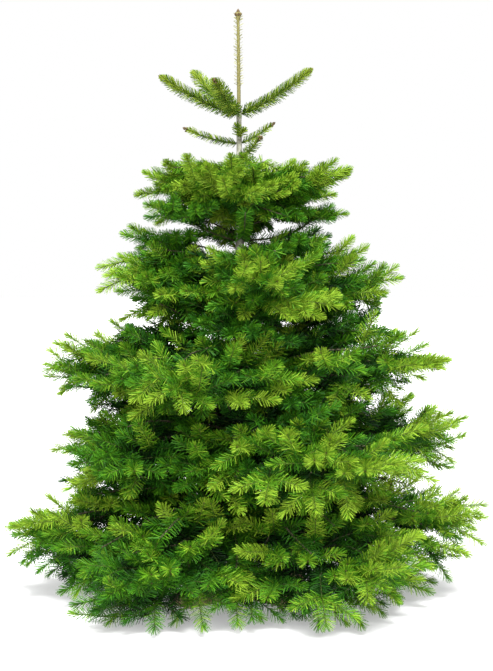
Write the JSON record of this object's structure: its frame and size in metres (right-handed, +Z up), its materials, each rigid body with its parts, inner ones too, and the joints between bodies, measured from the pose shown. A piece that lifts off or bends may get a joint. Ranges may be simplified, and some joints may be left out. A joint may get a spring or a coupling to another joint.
{
  "type": "christmas tree",
  "caption": "Cut fir with a straight tapering trunk, whorls of spreading needled boughs and a bare leader, standing in a plain wooden cross.",
  "frame": {"origin": "centre of the trunk's cut foot, level with the underside of the wooden cross", "axes": "+Z up along the trunk, +X to the right seen from the front, -Y towards the front"},
  "size_m": [1.3853, 1.3432, 1.68],
  "materials": {
    "trunk_bark": "rough grey-brown bark, smoother and olive towards the leader",
    "bough_bark": "thin rough brown bark",
    "needles": "satin deep to mid green needles",
    "young_needles": "satin yellow-green needles of the last growth",
    "stand_timber": "planed pale softwood"
  },
  "bodies": {
    "root": {"trunk": "trunk_bark", "stand_board_lower": "stand_timber", "stand_board_upper": "stand_timber", "top_shoot_left": "young_needles", "top_shoot_back_left": "young_needles", "top_shoot_front_left": "young_needles", "top_shoot_right": "young_needles", "small_shoot_left": "young_needles", "small_shoot_right": "young_needles", "small_shoot_front_right": "young_needles", "whorl_2_bough_1": "bough_bark", "whorl_2_foliage_1": "needles", "whorl_2_bough_2": "bough_bark", "whorl_2_foliage_2": "needles", "whorl_2_bough_3": "bough_bark", "whorl_2_foliage_3": "needles", "whorl_2_bough_4": "bough_bark", "whorl_2_foliage_4": "needles", "whorl_2_bough_5": "bough_bark", "whorl_2_foliage_5": "needles", "whorl_3_bough_1": "bough_bark", "whorl_3_foliage_1": "needles", "whorl_3_bough_2": "bough_bark", "whorl_3_foliage_2": "needles", "whorl_3_bough_3": "bough_bark", "whorl_3_foliage_3": "needles", "whorl_3_bough_4": "bough_bark", "whorl_3_foliage_4": "needles", "whorl_3_bough_5": "bough_bark", "whorl_3_foliage_5": "needles", "whorl_4_bough_1": "bough_bark", "whorl_4_foliage_1": "needles", "whorl_4_bough_2": "bough_bark", "whorl_4_foliage_2": "needles", "whorl_4_bough_3": "bough_bark", "whorl_4_foliage_3": "needles", "whorl_4_bough_4": "bough_bark", "whorl_4_foliage_4": "needles", "whorl_4_bough_5": "bough_bark", "whorl_4_foliage_5": "needles", "whorl_5_bough_1": "bough_bark", "whorl_5_foliage_1": "needles", "whorl_5_bough_2": "bough_bark", "whorl_5_foliage_2": "needles", "whorl_5_bough_3": "bough_bark", "whorl_5_foliage_3": "needles", "whorl_5_bough_4": "bough_bark", "whorl_5_foliage_4": "needles", "whorl_5_bough_5": "bough_bark", "whorl_5_foliage_5": "needles", "whorl_6_bough_1": "bough_bark", "whorl_6_foliage_1": "needles", "whorl_6_bough_2": "bough_bark", "whorl_6_foliage_2": "needles", "whorl_6_bough_3": "bough_bark", "whorl_6_foliage_3": "needles", "whorl_6_bough_4": "bough_bark", "whorl_6_foliage_4": "needles", "whorl_6_bough_5": "bough_bark", "whorl_6_foliage_5": "needles"}
  },
  "joints": []
}
